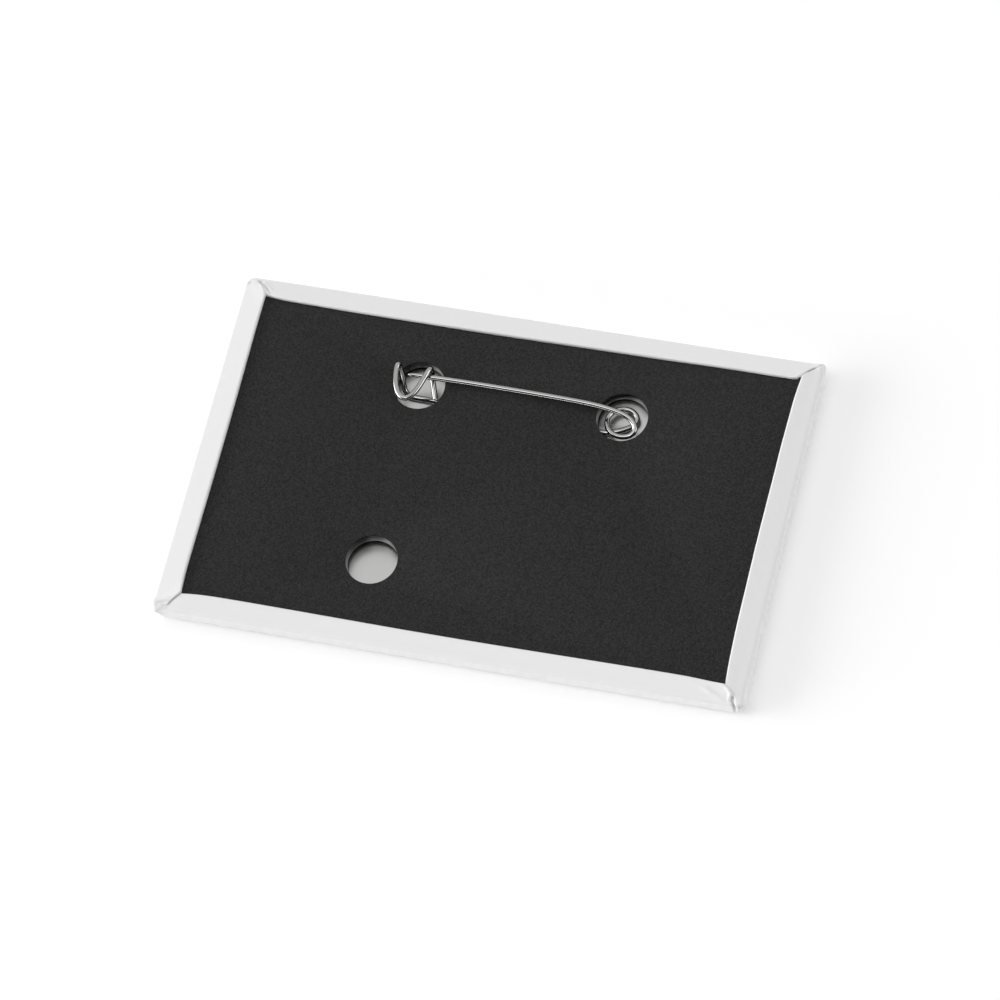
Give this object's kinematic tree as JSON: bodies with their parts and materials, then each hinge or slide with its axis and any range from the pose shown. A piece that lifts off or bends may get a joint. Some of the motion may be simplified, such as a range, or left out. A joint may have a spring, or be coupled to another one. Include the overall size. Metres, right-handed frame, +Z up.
{
  "type": "rectangular pin badge",
  "caption": "Rectangular metal pin badge with a white wrapped face, a black back plate with round holes and a spring-wire safety pin.",
  "frame": {"origin": "middle of the front face, on the surface that the badge lies on, face down", "axes": "+Z up out of the back, where the pin is; +X along the long side, from the catch to the coil; +Y towards the edge that is on top when the badge is worn"},
  "size_m": [0.08, 0.05, 0.0052],
  "materials": {
    "cover_film": "white paper under clear film, satin gloss",
    "tinplate": "bright tinplate, satin",
    "plate_plastic": "black moulded plastic, fine matte grain",
    "pin_wire": "nickel-plated spring steel wire, bright"
  },
  "bodies": {
    "badge": {"cover": "cover_film", "front_shell": "tinplate", "back_plate": "plate_plastic", "pin_spring": "pin_wire"},
    "needle": {"pin_needle": "pin_wire"}
  },
  "joints": [
    {"name": "needle_swing", "type": "hinge", "parent": "badge", "child": "needle", "pos_m": [0.0151, 0.01245, 0.0026], "axis": [0, 0, 1], "range_deg": [0, 30], "stiffness_Nm_per_rad": 0.1}
  ]
}
